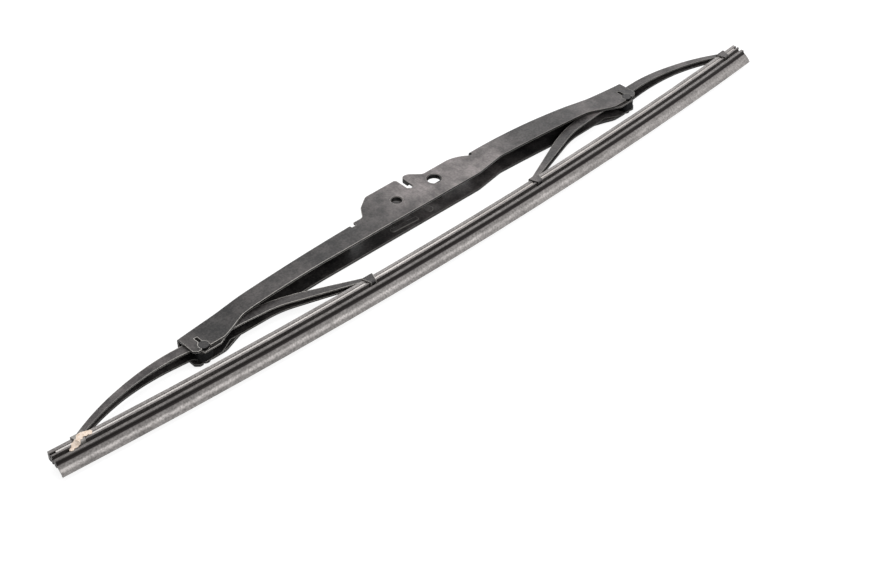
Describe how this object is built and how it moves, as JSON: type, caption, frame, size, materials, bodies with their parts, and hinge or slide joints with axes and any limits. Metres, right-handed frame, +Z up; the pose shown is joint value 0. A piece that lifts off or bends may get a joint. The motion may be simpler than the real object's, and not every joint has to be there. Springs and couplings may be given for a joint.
{
  "type": "wiper blade",
  "caption": "Framed car wiper blade: a pressed steel bridge with an arm saddle carries rocking yokes whose claws hold a bowed rubber element stiffened by spring steel strips.",
  "frame": {"origin": "centre of the footprint on the table, the blade lying on its side", "axes": "+X along the blade, +Y from the rubber towards the bridge's saddle, +Z up from the table"},
  "size_m": [0.4008, 0.0494, 0.0102],
  "materials": {
    "painted_steel": "semi-gloss black paint on pressed steel, dusty and a little worn at the edges",
    "bush_plastic": "moulded black acetal",
    "blade_rubber": "matt black rubber, greyed along the lip",
    "strip_steel": "rolled stainless spring steel"
  },
  "bodies": {
    "blade": {"bridge": "painted_steel", "wiper_rubber": "blade_rubber", "near_strip": "strip_steel", "far_strip": "strip_steel"},
    "left_yoke": {"left_yoke": "painted_steel", "left_pivot_bush": "bush_plastic"},
    "right_yoke": {"right_yoke": "painted_steel", "right_pivot_bush": "bush_plastic"}
  },
  "joints": [
    {"name": "left_yoke_rock", "type": "hinge", "parent": "blade", "child": "left_yoke", "pos_m": [-0.1237, -0.0012, 0.0051], "axis": [0, 0, -1], "range_deg": [-5, 5], "stiffness_Nm_per_rad": 0.9, "deforming": ["wiper_rubber", "near_strip", "far_strip"]},
    {"name": "right_yoke_rock", "type": "hinge", "parent": "blade", "child": "right_yoke", "pos_m": [0.1253, -0.0012, 0.0051], "axis": [0, 0, 1], "range_deg": [-5, 5], "stiffness_Nm_per_rad": 0.9, "deforming": ["wiper_rubber", "near_strip", "far_strip"]}
  ]
}
